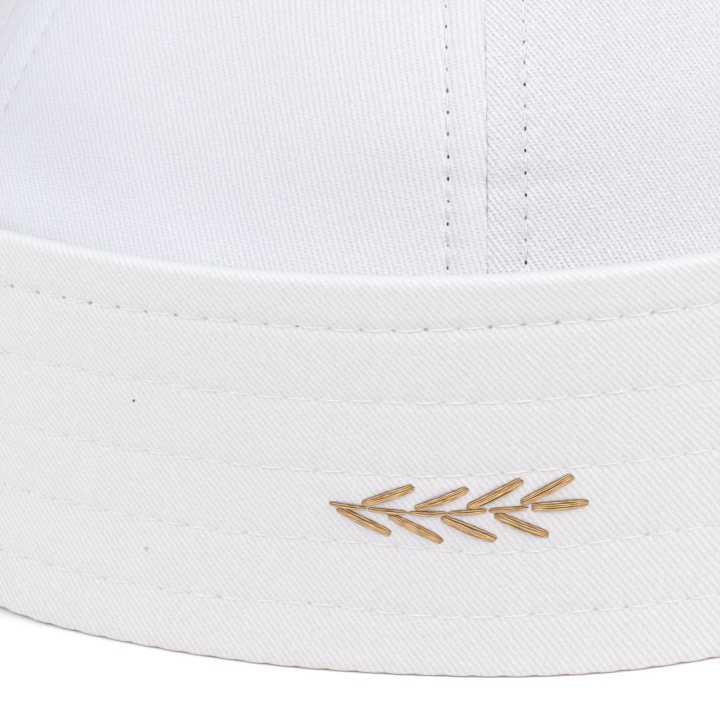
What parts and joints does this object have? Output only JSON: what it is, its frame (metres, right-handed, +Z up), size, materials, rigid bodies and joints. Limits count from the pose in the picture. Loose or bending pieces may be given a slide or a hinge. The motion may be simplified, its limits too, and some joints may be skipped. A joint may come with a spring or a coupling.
{
  "type": "sailor cap",
  "caption": "White cotton twill sailor cap with a low domed crown of topstitched gores standing inside a tall upturned cuff with rows of stitching.",
  "frame": {"origin": "centre of the cap's box, on the surface that its cuff rests on", "axes": "+Z up through the crown, the front of the cap with the crown's middle seam towards -Y, +X to the viewer's right"},
  "size_m": [0.2028, 0.2024, 0.0901],
  "materials": {
    "crown_twill": "white cotton twill, matt",
    "cuff_twill": "white cotton twill, matt, two plies stitched in rows",
    "stitching": "cotton sewing thread, off-white",
    "embroidery": "stranded embroidery thread, golden tan, satin"
  },
  "bodies": {
    "root": {"cuff": "cuff_twill", "crown_gore_1": "crown_twill", "crown_gore_2": "crown_twill", "crown_gore_3": "crown_twill", "crown_gore_4": "crown_twill", "crown_gore_5": "crown_twill", "crown_gore_6": "crown_twill"}
  },
  "joints": []
}
